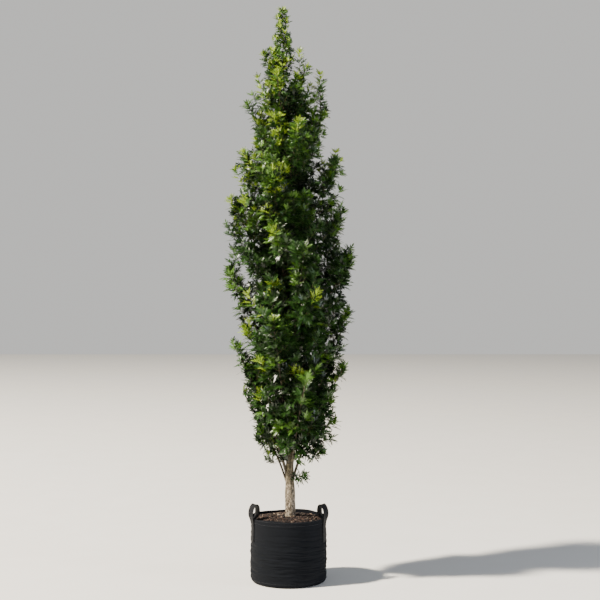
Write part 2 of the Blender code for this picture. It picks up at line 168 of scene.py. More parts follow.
# The section: underside and corner, wall, hem, its edge and inside, and then the wall's inside and floor.
profile = [(0, 0), (0.08, 0), (0.15, 0)]
profile += [(bag_radius(z), z) for z in (0, 0.0008, 0.003, 0.0065, 0.011, 0.016)]
profile += [(bag_radius(z), z) for z in np.arange(bag_corner, hem_foot - 0.001, 0.0036)]
profile += [(bag_radius(z) + hem_extra, z) for z in np.linspace(hem_foot, bag_height - 0.003, 7)]
profile += [(rim_radius + hem_extra - 0.0012, bag_height - 0.0008), (rim_radius - bag_wall / 2, bag_height)]
profile += [(rim_radius - bag_wall - 0.0002, bag_height - 0.0008), (lining_radius, bag_height - 0.003)]
profile += [(lining_radius, z) for z in (0.383, 0.376, 0.369, 0.362)]
profile += [(bag_radius(z) - bag_wall, z) for z in (0.359, 0.30, 0.15, 0.03)]
profile += [(0.19, bag_wall), (0.08, bag_wall), (0, bag_wall)]
bag = spun("felt_bag", profile, 240)


def fold_share(place):
    """The folds are full on the wall's outside, fainter under the hem, and gone at the foot and inside."""
    outside = math.hypot(place.x, place.y) > bag_radius(place.z) - bag_wall / 2
    below_hem = 1.0 if place.z < 0.24 else max(0.35, (0.36 - place.z) / 0.12)
    return below_hem * min(1, place.z / 0.04) * outside


def sag_share(place):
    """The rim sags most at its edge."""
    return max(0.0, (place.z - 0.30) / 0.09) if math.hypot(place.x, place.y) > 0.2 else 0.0


weigh(bag, "wall", fold_share)
weigh(bag, "rim", sag_share)
add_lumps(bag, "level_folds", 0.17, 0.0115, (1, 1, 0.085), "wall", depth=1)
add_lumps(bag, "creases", 0.08, 0.0055, (1, 1, 0.10), "wall", depth=1)
add_lumps(bag, "slack", 0.19, 0.005, (1, 1, 0.8), "wall", depth=1)
add_lumps(bag, "rim_sag", 0.16, 0.011, group="rim", depth=0, direction="Z")
bag.vertex_groups.clear()

# Needle-punched polyester felt: matt, with fibres that catch a grey sheen at grazing light, and mottled by
# watering. The fibres are 0.03 mm thick, drawn as tufts of 2.5 mm so that they show.
felt = new_finish("needle_punched_polyester_felt")
spot = add_node(felt, "TexCoord").outputs["Object"]
fibres = add_node(felt, "TexNoise", {"Vector": spot, "Scale": 400, "Detail": 3, "Roughness": 0.7})
mottle = add_node(felt, "TexNoise", {"Vector": spot, "Scale": 14, "Detail": 4, "Roughness": 0.6})
shade = add_node(felt, "ValToRGB", {"Fac": mottle}, ((0.35, "#06080b"), (0.70, "#0a0d12")))
fluff = add_node(felt, "Mix", {"Factor": fibres, "A": shade, "B": linear("#13161c")}, data_type="RGBA")
tufts = add_node(felt, "Bump", {"Height": fibres, "Strength": 0.5, "Distance": 0.0012})
surface = {"Base Color": fluff.outputs["Result"], "Normal": tufts, "Roughness": 0.92}
surface |= {"Sheen Weight": 0.02, "Sheen Roughness": 0.4, "Specular IOR Level": 0.12}
shader = add_node(felt, "BsdfPrincipled", surface)
add_node(felt, "OutputMaterial", {"Surface": shader})
bag.data.materials.append(felt)
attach(bag, "root")
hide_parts("planter_bag")


def copied(name, patterns, places, which=(0,), finishes=(), finish_of=(0,)):
    """One mesh of many copies.

    A pattern is (points, faces), and each place is a 4 x 4 matrix. Which gives each place's pattern, and
    finish_of its finish, by number.
    """
    places = np.array(places, float)
    which, finish_of = np.resize(which, len(places)), np.resize(finish_of, len(places))
    points, corners, sizes, finish_index, reached = [], [], [], [], 0
    for kind, (shape, faces) in enumerate(patterns):
        mine, shape = places[which == kind], np.array(shape, float)
        moved = np.einsum("nij,pj->npi", mine[:, :3, :3], shape) + mine[:, None, :3, 3]
        points.append(moved.reshape(-1, 3))
        flat = np.concatenate([np.array(face) for face in faces])
        starts = reached + np.arange(len(mine)) * len(shape)
        corners.append((flat[None, :] + starts[:, None]).reshape(-1))
        sizes.append(np.tile([len(face) for face in faces], len(mine)))
        finish_index.append(np.repeat(finish_of[which == kind], len(faces)))
        reached += len(mine) * len(shape)
    points, corners, sizes = np.concatenate(points), np.concatenate(corners), np.concatenate(sizes)
    starts = np.concatenate([[0], np.cumsum(sizes)[:-1]])
    mesh = bpy.data.meshes.new(name)
    mesh.vertices.add(len(points))
    mesh.vertices.foreach_set("co", points.astype(np.float32).ravel())
    mesh.loops.add(len(corners))
    mesh.loops.foreach_set("vertex_index", corners.astype(np.int32))
    mesh.polygons.add(len(sizes))
    mesh.polygons.foreach_set("loop_start", starts.astype(np.int32))
    mesh.polygons.foreach_set("material_index", np.concatenate(finish_index).astype(np.int32))
    mesh.update(calc_edges=True)
    mesh.validate()
    for finish in finishes:
        mesh.materials.append(finish)
    piece = bpy.data.objects.new(name, mesh)
    bpy.context.scene.collection.objects.link(piece)
    return piece


def taken_pattern():
    """The active object's mesh as a pattern to copy. The object goes."""
    model = bpy.context.object
    pattern = ([tuple(v.co) for v in model.data.vertices], [list(p.vertices) for p in model.data.polygons])
    bpy.data.objects.remove(model)
    return pattern


def standing(place, along, outward):
    """A matrix at the place whose X runs along a line and whose Z points outward."""
    x = Vector(along).normalized()
    y = Vector(outward).cross(x).normalized()
    return Matrix.Translation(place) @ Matrix([x, y, x.cross(y)]).transposed().to_4x4()


# The stitches: bonded polyester thread, 1 mm thick, in 6 mm lock stitches. Two rows hold the hem, one row
# the base and two rows the lapped seam up the back. Each stitch is a small sphere, drawn out and half sunk.
stitches_round = 236
stitches_up = 60
bpy.ops.mesh.primitive_uv_sphere_add(segments=6, ring_count=4, radius=1.0)
bpy.ops.object.mode_set(mode="EDIT")
bpy.ops.transform.rotate(value=math.pi / 2, orient_axis="Y", center_override=(0, 0, 0))
bpy.ops.transform.resize(value=(0.0027, 0.0005, 0.0005), center_override=(0, 0, 0))
bpy.ops.object.mode_set(mode="OBJECT")
stitch = taken_pattern()


def wall_point(angle, height):
    """The wall's outer skin, found on the finished bag."""
    way = Vector((math.cos(angle), math.sin(angle), 0))
    hit, skin, _, _ = bag.ray_cast(way * 0.4 + Vector((0, 0, height)), -way)
    return skin if hit else way * (bag_radius(height) + 0.0005) + Vector((0, 0, height))


stitch_places = []
for height in (bag_height - 0.006, bag_height - hem_depth + 0.004, 0.024):
    for k in range(stitches_round):
        angle = k * math.tau / stitches_round
        way = Vector((math.cos(angle), math.sin(angle), 0))
        stitch_places.append(standing(wall_point(angle, height), (-way.y, way.x, 0), way))
for angle in (math.radians(88.6), math.radians(91.4)):
    for k in range(stitches_up):
        way = Vector((math.cos(angle), math.sin(angle), 0))
        stitch_places.append(standing(wall_point(angle, 0.026 + k * 0.0058), (0, 0, 1), way))


def grained_finish(name, colour, roughness, grain, relief, gloss):
    """A finish of one colour with a fine grain in relief."""
    finish = new_finish(name)
    spot = add_node(finish, "TexCoord").outputs["Object"]
    noise = add_node(finish, "TexNoise", {"Vector": spot, **grain})
    bumps = add_node(finish, "Bump", {"Height": noise, **relief})
    surface = {"Base Color": linear(colour), "Roughness": roughness, "Normal": bumps, **gloss}
    shader = add_node(finish, "BsdfPrincipled", surface)
    add_node(finish, "OutputMaterial", {"Surface": shader})
    return finish


# Bonded polyester thread: twisted plies with a dull shine.
twist = {"Scale": 700, "Detail": 2}
plies = {"Strength": 0.4, "Distance": 0.0003}
thread = grained_finish("bonded_polyester_thread", "#2e3036", 0.55, twist, plies, {})
bag_stitches = copied("bag_stitches", [stitch], stitch_places, finishes=[thread])
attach(bag_stitches, "root")
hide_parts("planter_bag")

# ---- Carrying handles
# Two loops of black polypropylene webbing, 48 mm wide and woven in a close rib. The outer leg is sewn flat
# to the wall with a box and cross, and the other end goes over the rim and is caught inside the hem.

strap_width = 0.048
strap_thick = 0.0036
cup_depth = 0.0022  # where the strap stands free, its middle bows out by this
# The strap's centre line from its outer foot up and over: distance from the bag's axis, turn to the front in
# degrees, height, and the turn of its flat side.
strap_rows = [
    (0.2316, 21.0, 0.250, 21),
    (0.2306, 21.0, 0.300, 21),
    (0.2302, 21.0, 0.345, 21),
    (0.2350, 21.0, 0.378, 26),
    (0.2410, 21.4, 0.404, 35),
    (0.2400, 21.4, 0.432, 38),
    (0.2300, 20.8, 0.457, 38),
    (0.2165, 19.6, 0.471, 38),
    (0.2035, 18.0, 0.467, 38),
    (0.1950, 16.8, 0.450, 38),
    (0.1935, 16.4, 0.426, 37),
    (0.1975, 16.0, 0.404, 30),
    (0.2060, 15.7, 0.390, 22),
    (0.2135, 15.5, 0.380, 16),
    (0.2165, 15.5, 0.370, 15.5),
]
steps_a_row = 5
strap_centres, strap_ways = [], []
for k in range(len(strap_rows) - 1):
    # A smooth curve through the rows.
    before, a, b = (np.array(strap_rows[max(0, i)]) for i in (k - 1, k, k + 1))
    after = np.array(strap_rows[min(len(strap_rows) - 1, k + 2)])
    square, cube = 2 * before - 5 * a + 4 * b - after, 3 * a - before - 3 * b + after
    for step in range(steps_a_row if k < len(strap_rows) - 2 else steps_a_row + 1):
        t = step / steps_a_row
        bend = (b - before) * t + square * t**2 + cube * t**3
        radius, turn, height, twist = a + bend / 2
        turn, twist = math.radians(turn), math.radians(twist)
        strap_centres.append(Vector((radius * math.cos(turn), -radius * math.sin(turn), height)))
        strap_ways.append(Vector((math.sin(twist), math.cos(twist), 0)))
run = [0.0]
for a, b in zip(strap_centres, strap_centres[1:]):
    run.append(run[-1] + (b - a).length)

last = len(strap_centres) - 1
bpy.ops.mesh.primitive_grid_add(x_subdivisions=12, y_subdivisions=last, size=1)
strap = bpy.context.object
weave_map = strap.data.uv_layers.new(name="weave")
for loop in strap.data.loops:
    flat = strap.data.vertices[loop.vertex_index].co
    weave_map.data[loop.index].uv = ((flat.x + 0.5) * strap_width, run[round((flat.y + 0.5) * last)])
for vert in strap.data.vertices:
    row = round((vert.co.y + 0.5) * last)
    centre, way, side_place = strap_centres[row], strap_ways[row], vert.co.x * strap_width
    along = strap_centres[min(row + 1, last)] - strap_centres[max(row - 1, 0)]
    on_wall = max(0.0, min(1.0, (0.375 - centre.z) / 0.03))
    inward = Vector((centre.x, centre.y, 0)).normalized() * side_place**2 / (2 * rim_radius) * on_wall
    cupped = along.cross(way).normalized() * cup_depth * math.cos(vert.co.x * math.pi) * (1 - on_wall)
    vert.co = centre + way * side_place - inward + cupped
bpy.ops.object.mode_set(mode="EDIT")
bpy.ops.mesh.select_all(action="SELECT")
bpy.ops.mesh.normals_make_consistent(inside=False)
bpy.ops.mesh.faces_shade_smooth()
bpy.ops.object.mode_set(mode="OBJECT")
thick = strap.modifiers.new("webbing_thickness", "SOLIDIFY")
thick.thickness = strap_thick
thick.offset = 0
edge = strap.modifiers.new("soft_selvedge", "BEVEL")
edge.width = 0.0011
edge.segments = 2
edge.limit_method = "ANGLE"
apply_all(strap)

# Woven polypropylene: yarns with a dull shine, in ribs across the strap. The ribs are 2 mm apart, and drawn
# 6 mm apart so that they show.
webbing = new_finish("woven_polypropylene_webbing")
weave = add_node(webbing, "UVMap", uv_map="weave")
rib_wave = {"Vector": weave, "Scale": 52, "Distortion": 0.6, "Detail": 1}
ribs = add_node(webbing, "TexWave", rib_wave, bands_direction="Y")
warp_wave = {"Vector": weave, "Scale": 90, "Distortion": 0.3}
warps = add_node(webbing, "TexWave", warp_wave, bands_direction="X")
cloth = add_node(webbing, "Math", {0: ribs.outputs["Fac"], 1: warps.outputs["Fac"]}, operation="MULTIPLY")
# The ramp paints the ribs' crests lighter and the grooves between them darker: painted highlight and painted
# shade in the weave, on yarns that are all one black.
shade = add_node(webbing, "ValToRGB", {"Fac": cloth}, ((0, "#0a0b0e"), (1, "#1e2126")))
yarns = add_node(webbing, "Bump", {"Height": cloth, "Strength": 0.6, "Distance": 0.0008})
surface = {"Base Color": shade, "Roughness": 0.62, "Specular IOR Level": 0.16, "Normal": yarns}
shader = add_node(webbing, "BsdfPrincipled", surface)
add_node(webbing, "OutputMaterial", {"Surface": shader})
strap.data.materials.append(webbing)

# The box and cross that holds the outer leg, 38 by 44 mm, in 5 mm stitches.
box_corners = [(-0.019, 0.256), (0.019, 0.256), (0.019, 0.300), (-0.019, 0.300)]
box_runs = list(zip(box_corners, box_corners[1:] + box_corners[:1]))
box_runs += [(box_corners[0], box_corners[2]), (box_corners[1], box_corners[3])]
leg_radii, _, leg_heights, _ = zip(*strap_rows[:3])
box_places = []
leg_turn = Matrix.Rotation(math.radians(-21), 4, "Z")
for (y0, z0), (y1, z1) in box_runs:
    steps = round(math.hypot(y1 - y0, z1 - z0) / 0.0052)
    for k in range(steps + 1):
        y, z = y0 + (y1 - y0) * k / steps, z0 + (z1 - z0) * k / steps
        x = np.interp(z, leg_heights, leg_radii) + strap_thick / 2 - y**2 / (2 * rim_radius)
        box_places.append(leg_turn @ standing((x, y, z), (0, y1 - y0, z1 - z0), (1, 0, 0)))


def mirror(piece):
    """Mirrors the piece to the other side of the bag."""
    piece.data.transform(Matrix.Scale(-1, 4, (1, 0, 0)))
    piece.data.flip_normals()


strap.name = strap.data.name = "webbing_handle_right"
other = strap.copy()
other.data = strap.data.copy()
other.name = other.data.name = "webbing_handle_left"
bpy.context.scene.collection.objects.link(other)
mirror(other)
for loop, node in ((strap, "handle_right"), (other, "handle_left")):
    sewn = copied("handle_stitches_" + node[7:], [stitch], box_places, finishes=[thread])
    if loop is other:
        mirror(sewn)
    for piece in (loop, sewn):
        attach(piece, "root")
        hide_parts(node)

# ---- Compost and mulch
# Peat-free compost to 20 mm under the rim, with a layer of chipped conifer bark heaped a little to the
# trunk. The chips are 6 to 26 mm flakes, dark outside and tan where they split, and lie flat and overlap.

mulch_top = 0.388
mulch_edge = 0.368


def mulch_height(radius):
    heights = [mulch_top, mulch_top - 0.001, 0.380, 0.370, mulch_edge]
    return float(np.interp(radius, [0, 0.06, 0.13, 0.20, 0.221], heights))


heap = [(0, mulch_top)] + [(r, mulch_height(r) - 0.003) for r in np.arange(0.008, 0.218, 0.0085)]
heap += [(0.2200, mulch_edge - 0.004), (0.2205, 0.34), (0.2205, 0.20), (0.2200, 0.03)]
heap += [(0.19, 0.006), (0, 0.006)]
compost = spun("compost", heap, 120)


def crumb_share(place):
    """The crumbs are on the heap's top only, clear of the wall."""
    return 1.0 if place.z > 0.36 and math.hypot(place.x, place.y) < 0.216 else 0.0


weigh(compost, "top", crumb_share)
add_lumps(compost, "crumbs", 0.016, 0.006, group="top")
compost.vertex_groups.clear()

# Damp peat-free compost: near black-brown, broken by paler crumbs.
soil = new_finish("damp_compost")
spot = add_node(soil, "TexCoord").outputs["Object"]
crumbs = add_node(soil, "TexNoise", {"Vector": spot, "Scale": 160, "Detail": 6, "Roughness": 0.7})
shade = add_node(soil, "ValToRGB", {"Fac": crumbs}, ((0.40, "#100b09"), (0.68, "#30221b")))
grit = add_node(soil, "Bump", {"Height": crumbs, "Strength": 0.8, "Distance": 0.002})
shader = add_node(soil, "BsdfPrincipled", {"Base Color": shade, "Roughness": 0.9, "Normal": grit})
add_node(soil, "OutputMaterial", {"Surface": shader})
compost.data.materials.append(soil)

draw = random.Random(5)
chip_patterns = []
for kind in range(4):
    bpy.ops.mesh.primitive_ico_sphere_add(subdivisions=1, radius=1.0)
    chip = bpy.context.object
    for vert in chip.data.vertices:
        vert.co.x = math.copysign(abs(vert.co.x) ** 0.6, vert.co.x) * draw.uniform(0.75, 1.1)
        vert.co.y = vert.co.y * draw.uniform(0.35, 0.60)
        vert.co.z = math.copysign(0.20, vert.co.z) * draw.uniform(0.5, 1.3)
    chip_patterns.append(taken_pattern())
half_lengths = (0.004, 0.005, 0.006, 0.008, 0.011)
chip_places, chip_kinds, chip_tints = [], [], []
for k in range(3000):
    radius = 0.211 * math.sqrt(draw.random())
    angle = draw.uniform(0, math.tau)
    size = draw.choice(half_lengths) * draw.uniform(0.8, 1.2)
    # The trunk and the wall are kept clear.
    if radius < 0.034 + size * 0.5 or radius > 0.2175 - size:
        continue
    x, y = radius * math.cos(angle) + 0.011 * (radius < 0.1), radius * math.sin(angle)
    turn = Euler((draw.gauss(0, 0.22), draw.gauss(0, 0.22), draw.uniform(0, math.tau))).to_matrix().to_4x4()
    height = mulch_height(radius) + draw.uniform(-0.002, 0.0045)
    chip_places.append(Matrix.Translation((x, y, height)) @ turn @ Matrix.Scale(size, 4))
    chip_kinds.append(draw.randrange(4))
    chip_tints.append(draw.choices((0, 1, 2, 3), (44, 33, 15, 8))[0])

# Chipped conifer bark in four tints, from wet and dark to a fresh split. It is corky: matt and pitted.
chip_tones = (("wet", "#150d0a"), ("brown", "#2f1e16"), ("tan", "#4d392e"), ("fresh_split", "#92806f"))
cork = {"Scale": 420, "Detail": 4, "Roughness": 0.7}
pits = {"Strength": 0.7, "Distance": 0.001}
chip_finishes = []
for name, colour in chip_tones:
    chip_finishes.append(grained_finish("conifer_bark_chip_" + name, colour, 0.82, cork, pits, {}))
chips = copied("bark_chips", chip_patterns, chip_places, chip_kinds, chip_finishes, chip_tints)
for piece in (compost, chips):
    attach(piece, "root")
    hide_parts("compost_and_mulch")

# ---- Trunk and limbs
# A young oak's stem with thin bark, pale grey-beige and speckled low down, darker and olive where it is
# younger. The limbs leave it at steep angles with a small collar, and each runs on as its plume's stem.

tree_top = 3.260
# The trunk's radius at shares of its height.
trunk_rows = ((0.0, 0.0315), (0.050, 0.0315), (0.085, 0.0250), (0.14, 0.0215), (0.45, 0.0140), (1.0, 0.0030))
trunk_rows = np.array(trunk_rows)
# The crown's outline: height, then its reach to the left and to the right of the bag's axis.
crown_rows = ((0.66, 0.090, 0.120), (0.78, 0.160, 0.215), (0.95, 0.250, 0.300), (1.20, 0.310, 0.345))
crown_rows += ((1.60, 0.370, 0.385), (1.95, 0.375, 0.385), (2.25, 0.375, 0.345), (2.55, 0.300, 0.320))
crown_rows += ((2.85, 0.255, 0.225), (3.10, 0.170, 0.110), (3.30, 0.110, 0.020), (3.48, 0.045, -0.020))
crown_rows = np.array(crown_rows)
# A plume's tip height, and how far it rises from its fork to there.
plume_rises = np.array(((1.13, 0.61), (1.45, 0.89), (1.90, 1.02), (2.40, 0.86), (3.20, 0.38)))
# Each side's direction in degrees, and the heights of its plumes' tips from the foot up.
plume_tips = {
    "left": (180, (1.13, 1.43, 1.88, 2.30, 2.58, 2.86, 3.17)),
    "front": (270, (1.22, 1.58, 2.00, 2.40, 2.74, 3.03)),
    "right": (0, (1.30, 1.62, 1.96, 2.24, 2.53, 2.83, 3.09)),
    "back": (90, (1.19, 1.53, 2.06, 2.42, 2.70, 2.98)),
}
azimuth_drift = 15  # degrees by which a plume leaves its side's direction, one way and the other by turns
bough_tiers = 3  # the plumes of the lowest tiers stand on bare boughs
bough_share = 0.24  # share of a low plume's line that is its bough
limb_taper = 0.0098  # a limb's radius at its fork for each metre that it rises
limb_tip = 0.0026


def trunk_centre(height):
    share = (height - mulch_top) / (tree_top - mulch_top)
    return Vector((0.011 - 0.045 * share, 0.010 * math.sin(share * 7.0), height))


def trunk_radius(height):
    share = (height - mulch_top) / (tree_top - mulch_top)
    flare = 0.0020 * math.exp(-(height - mulch_top) / 0.018)
    return float(np.interp(share, trunk_rows[:, 0], trunk_rows[:, 1])) + flare


def crown_centre(height):
    across = np.interp(height, crown_rows[:, 0], crown_rows[:, 2] - crown_rows[:, 1])
    return Vector((across / 2, 0, height))


def crown_reach(height):
    return float(np.interp(height, crown_rows[:, 0], crown_rows[:, 1] + crown_rows[:, 2])) / 2


class Plume:
    """A limb's line from its fork on the trunk to its tip on the crown's outline, or the trunk's top."""

    def __init__(self, side, azimuth, tip_height, tier):
        self.side, self.tier = side, tier
        self.rise = float(np.interp(tip_height, plume_rises[:, 0], plume_rises[:, 1]))
        self.fork = tip_height - self.rise
        self.outward = Vector((math.cos(azimuth), math.sin(azimuth), 0))
        self.tip = crown_centre(tip_height) + self.outward * crown_reach(tip_height)
        self.forked = tier < bough_tiers
        self.node, self.group = f"{side}_{tier + 1}", side + ("_low" if self.forked else "_high")
        # Its leafy shoots start at this share of its line.
        self.leafy = bough_share + 0.03 if self.forked else 0.12
        if side == "top":
            self.node, self.group = "leader", "top"
            self.fork, self.rise, self.leafy = 2.94, 0.50, 0.10
            self.outward = Vector((0, -1, 0))

    def at(self, share):
        """The line hugs the trunk low down, and then leans out."""
        height = self.fork + self.rise * share
        if self.side == "top":
            return trunk_centre(height)
        out = (self.tip - trunk_centre(self.tip.z)) * share * (0.55 + 0.45 * share)
        return trunk_centre(height) + Vector((out.x, out.y, 0))

    def heading(self, share):
        return (self.at(share + 0.02) - self.at(share)).normalized()

    def radius(self, share):
        return limb_tip + limb_taper * self.rise * (1 - share)


plumes = [Plume("top", 0, 3.3, 9)]
for side, (azimuth, tips) in plume_tips.items():
    for tier, tip_height in enumerate(tips):
        drift = azimuth_drift if (tier + azimuth // 90) % 2 else -azimuth_drift
        plumes.append(Plume(side, math.radians(azimuth + drift), tip_height, tier))


def grown(name, points, radii, sides):
    """A limb from a circle, extruded along its line and resized at each ring, closed at both ends."""
    bpy.ops.mesh.primitive_circle_add(vertices=sides, radius=radii[0], fill_type="NGON", location=points[0])
    limb = bpy.context.object
    limb.name = limb.data.name = name
    bpy.ops.object.transform_apply(location=True)
    bpy.ops.object.mode_set(mode="EDIT")
    for a, b, r0, r1 in zip(points, points[1:], radii, radii[1:]):
        bpy.ops.mesh.extrude_region_move(TRANSFORM_OT_translate={"value": b - a})
        bpy.ops.transform.resize(value=(r1 / r0,) * 3, center_override=b)
    bpy.ops.mesh.select_all(action="SELECT")
    bpy.ops.mesh.normals_make_consistent(inside=False)
    bpy.ops.mesh.faces_shade_smooth()
    bpy.ops.object.mode_set(mode="OBJECT")
    return limb


def finer(piece, levels):
    smooth = piece.modifiers.new("rounded", "SUBSURF")
    smooth.levels = smooth.render_levels = levels
    apply_all(piece)


# The trunk's rings are close together low down, where its flare and its bark show.
heights = [mulch_top - 0.006, mulch_top + 0.004, mulch_top + 0.014] + list(np.arange(0.420, 1.00, 0.026))
heights += list(np.arange(1.04, tree_top - 0.02, 0.085)) + [tree_top]
ring_radii = [trunk_radius(max(z, mulch_top)) for z in heights]
trunk = grown("trunk_bark", [trunk_centre(z) for z in heights], ring_radii, 20)
finer(trunk, 2)
add_lumps(trunk, "swells", 0.060, 0.0050, (1, 1, 1.6), depth=1)
add_lumps(trunk, "bark_ridges", 0.012, 0.0028, (1, 1, 2.2))

# Young oak bark: smooth and thin, grey-beige with dark corky flecks 3 to 8 mm long, and a green-brown cast
# above the first limbs, with a ragged edge. It has the soft gloss of a thin skin.
bark = new_finish("young_oak_bark")
spot = add_node(bark, "TexCoord").outputs["Object"]
stretched = add_node(bark, "Mapping", {"Vector": spot, "Scale": (1, 1, 0.45)})
flecks = add_node(bark, "TexNoise", {"Vector": stretched, "Scale": 150, "Detail": 5, "Roughness": 0.75})
patches = add_node(bark, "TexNoise", {"Vector": stretched, "Scale": 34, "Detail": 3, "Roughness": 0.6})
pale_tones = ((0.40, "#2a231b"), (0.50, "#6e6250"), (0.63, "#bdb1a0"))
pale = add_node(bark, "ValToRGB", {"Fac": flecks}, pale_tones)
olive_tones = ((0.36, "#1f1b13"), (0.50, "#4d4630"), (0.66, "#857a5c"))
olive = add_node(bark, "ValToRGB", {"Fac": flecks}, olive_tones)
up = add_node(bark, "SeparateXYZ", {"Vector": spot}).outputs["Z"]
ragged = add_node(bark, "Math", {0: patches, 1: 0.30, 2: -0.15}, operation="MULTIPLY_ADD")
level = add_node(bark, "Math", {0: up, 1: ragged}, operation="ADD")
younger = add_node(bark, "MapRange", {"Value": level, "From Min": 0.48, "From Max": 0.66})
tone = add_node(bark, "Mix", {"Factor": younger, "A": pale, "B": olive}, data_type="RGBA")
skin = add_node(bark, "Bump", {"Height": flecks, "Strength": 0.6, "Distance": 0.0016})
surface = {"Base Color": tone.outputs["Result"], "Roughness": 0.7, "Normal": skin}
shader = add_node(bark, "BsdfPrincipled", surface)
add_node(bark, "OutputMaterial", {"Surface": shader})
trunk.data.materials.append(bark)
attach(trunk, "root")
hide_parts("trunk")

# The limbs: young wood, darker than the trunk, brown-olive with a few pale pores.
young_bark = new_finish("young_oak_limb_bark")
spot = add_node(young_bark, "TexCoord").outputs["Object"]
stretched = add_node(young_bark, "Mapping", {"Vector": spot, "Scale": (1, 1, 0.4)})
pores = add_node(young_bark, "TexNoise", {"Vector": stretched, "Scale": 210, "Detail": 4, "Roughness": 0.7})
limb_tones = ((0.36, "#1d1811"), (0.52, "#3a3323"), (0.68, "#6f6349"))
shade = add_node(young_bark, "ValToRGB", {"Fac": pores}, limb_tones)
skin = add_node(young_bark, "Bump", {"Height": pores, "Strength": 0.5, "Distance": 0.001})
shader = add_node(young_bark, "BsdfPrincipled", {"Base Color": shade, "Roughness": 0.6, "Normal": skin})
add_node(young_bark, "OutputMaterial", {"Surface": shader})
for side in plume_tips:
    limbs, nodes = [], []
    for plume in plumes:
        if plume.side != side:
            continue
        shares = [0.0, 0.03, 0.07, 0.12, 0.18] + [bough_share + 0.73 * k / 9 for k in range(10)]
        # The collar at the fork is 70 % thicker than the limb.
        radii = [plume.radius(s) * (1 + 0.7 * math.exp(-s / 0.035)) for s in shares]
        limbs.append(grown("limb", [plume.at(s) for s in shares], radii, 8))
        nodes += ["foliage_" + plume.node] + (["bough_" + plume.node] if plume.forked else [])
    bpy.ops.object.select_all(action="DESELECT")
    for limb in limbs:
        limb.select_set(True)
    bpy.context.view_layer.objects.active = limbs[0]
    bpy.ops.object.join()
    boughs = bpy.context.object
    boughs.name = boughs.data.name = "limbs_" + side
    finer(boughs, 1)
    add_lumps(boughs, "knuckles", 0.045, 0.0028, (1, 1, 1.4), depth=1)
    boughs.data.materials.append(young_bark)
    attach(boughs, "root")
    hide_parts(*nodes)

# ---- Crown
# Steep plumes of shoots, twigs and deeply lobed leaves. Each limb carries shoots at the golden angle, each
# shoot carries twigs in turn, and every tip ends in a rosette. New growth is yellow-green and smaller.

golden = math.radians(137.5)
axis_points = np.array([[plume.at(k / 10) for k in range(11)] for plume in plumes])
axis_feet, axis_spans = axis_points[:, :-1], axis_points[:, 1:] - axis_points[:, :-1]
# The crown's body, out of which its long shoots stand: heights and half-widths.
body_rows = ((0.66, 0.11), (0.82, 0.215), (1.05, 0.245), (1.30, 0.280), (1.60, 0.345), (1.90, 0.345))
body_rows += ((2.25, 0.335), (2.45, 0.285), (2.70, 0.225), (2.95, 0.150), (3.10, 0.085), (3.30, 0.045))
body_rows = np.array(body_rows + ((3.48, 0.018),))


def skirt_height(point):
    """The crown's lower edge: bare round the trunk and the boughs, and lower out to the sides."""
    return 0.66 + 0.16 * math.exp(-((point.x / 0.060) ** 2))


def body_reach(height):
    return float(np.interp(height, body_rows[:, 0], body_rows[:, 1]))


def spike_reach(height):
    """How far out the long shoots and the plumes' tips stand, which is less low down."""
    return crown_reach(height) * float(np.interp(height, [1.1, 1.8], [0.86, 1.0]))


def within(point, reach, share):
    """True if the point is no further out than this share of the reach at its height, and 12 mm more."""
    return (point - crown_centre(point.z)).length < share * reach(point.z) + 0.012


def keeps_to(plume, point, reach, share):
    """True if the point is in the plume's own part of the crown, and no further out than within allows."""
    if not within(point, reach, share) or not skirt_height(point) < point.z < 3.44:
        return False
    if (point - trunk_centre(point.z)).length < trunk_radius(min(point.z, tree_top)) + 0.004:
        return False
    away = np.array(point) - axis_feet
    nearest = np.clip((away * axis_spans).sum(2) / (axis_spans**2).sum(2), 0, 1)
    apart = np.linalg.norm(away - nearest[:, :, None] * axis_spans, axis=2).min(1)
    own = plumes.index(plume)
    return apart[own] <= np.delete(apart, own).min() + 0.020


# The leaf: two pairs of pointed lobes that reach forward and a long end lobe, cut most of the way to
# the midrib, on a short stalk. The outline is drawn for one half as (along, across), in parts of the
# blade's length: the foot, then each side lobe's rear root, shoulder, tip, front edge and front root, then
# the end lobe.
lobe_rows = [(0.03, 0.035), (0.09, 0.065), (0.20, 0.19), (0.43, 0.31), (0.33, 0.14), (0.25, 0.070)]
lobe_rows += [(0.33, 0.070), (0.46, 0.21), (0.76, 0.36), (0.62, 0.17), (0.53, 0.075), (0.63, 0.070)]
lobe_rows += [(0.82, 0.115)]
midrib = [(0.0, 0.0), (0.25, 0.0), (0.53, 0.0), (1.08, 0.0)]
stalk = [(-0.20, 0.014), (-0.20, -0.014), (0.0, 0.016), (0.0, -0.016)]


def leaf_pattern(fold, droop, curl, skew):
    """The blade with a fold along its midrib, a droop to its tip and lobes that curl down, and its stalk."""
    points = []
    for along, across in midrib + lobe_rows + [(x, -y) for x, y in lobe_rows] + stalk:
        bend = droop * along**2 if along > 0 else 0.10 * along
        y = across + skew * along * (1 - along)
        points.append((along, y, fold * abs(across) - curl * across**2 - bend))
    half = len(lobe_rows)
    faces = []
    for side in (0, 1):
        n = [len(midrib) + half * side + k for k in range(half)]
        one_side = [(0, n[0], n[1], n[5], 1), (1, n[5], n[6], n[10], 2), (2, n[10], n[11], n[12], 3)]
        one_side += [tuple(n[1:6]), tuple(n[6:11])]
        faces += [face if side else face[::-1] for face in one_side]
    end = len(midrib) + 2 * half
    faces.append((end, end + 1, end + 3, end + 2))
    return points, faces


leaf_patterns = [leaf_pattern(0.30, 0.14, 0.40, 0.04), leaf_pattern(0.18, 0.30, 0.60, -0.06)]
leaf_patterns += [leaf_pattern(0.45, 0.02, 0.30, 0.0), leaf_pattern(0.10, 0.40, 0.80, 0.08)]
# New leaves are narrower and still folded up.
young_points, young_faces = leaf_pattern(0.65, 0.02, 0.10, 0.0)
leaf_patterns.append(([(x, y * 0.75, z) for x, y, z in young_points], young_faces))

